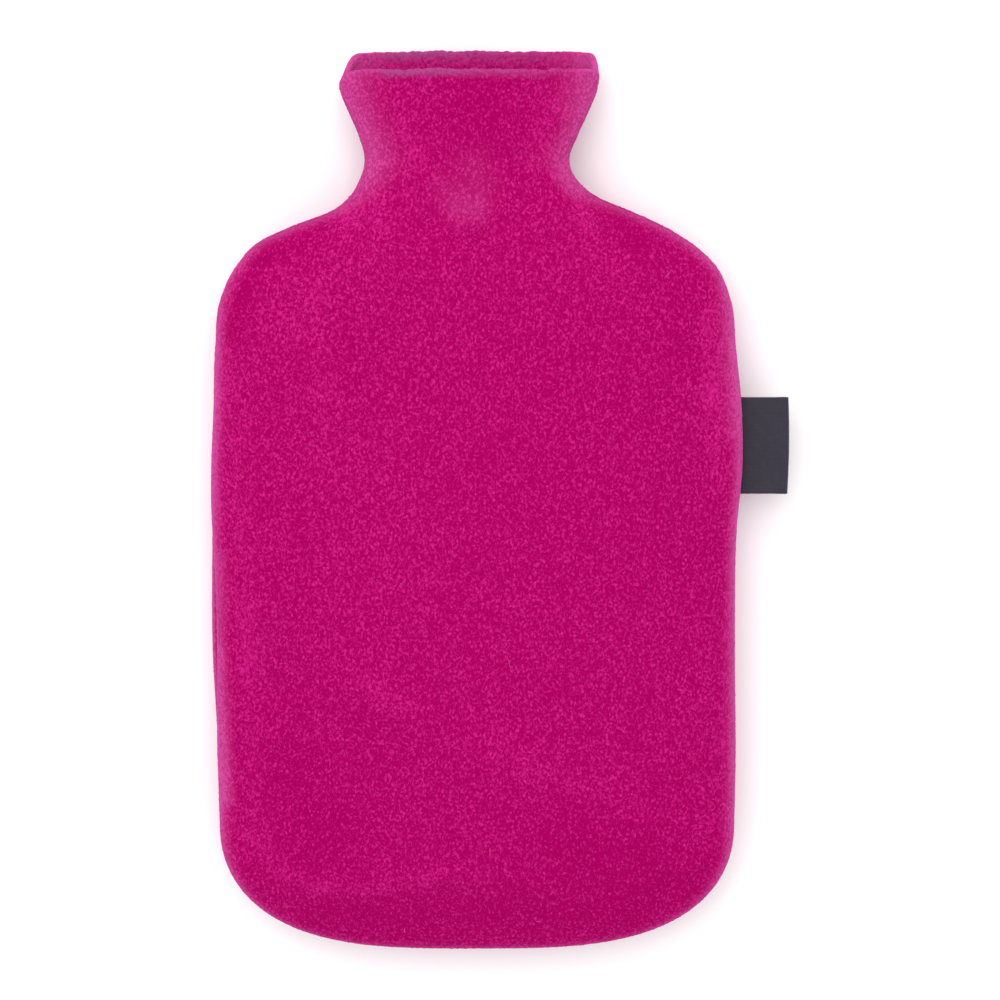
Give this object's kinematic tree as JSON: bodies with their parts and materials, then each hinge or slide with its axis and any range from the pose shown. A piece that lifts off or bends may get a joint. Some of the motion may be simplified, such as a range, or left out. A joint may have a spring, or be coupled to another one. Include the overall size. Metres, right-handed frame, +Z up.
{
  "type": "hot water bottle cover",
  "caption": "Soft fleece pouch with a wide body, a narrow neck and an open flared mouth, which wraps a hot water bottle so that it can be held.",
  "frame": {"origin": "on the flat of the back panel, on the surface the cover rests on, midway between its sides and about midway between its closed end and its mouth", "axes": "+Z up out of the front panel, +Y towards the open mouth, +X to the right seen from the front"},
  "size_m": [0.2189, 0.3429, 0.045],
  "materials": {
    "fleece": "curly brushed fleece pile, magenta pink",
    "ribbon": "fine matt woven ribbon, charcoal"
  },
  "bodies": {
    "root": {"front_panel": "fleece", "back_panel": "fleece", "side_label": "ribbon"}
  },
  "joints": []
}
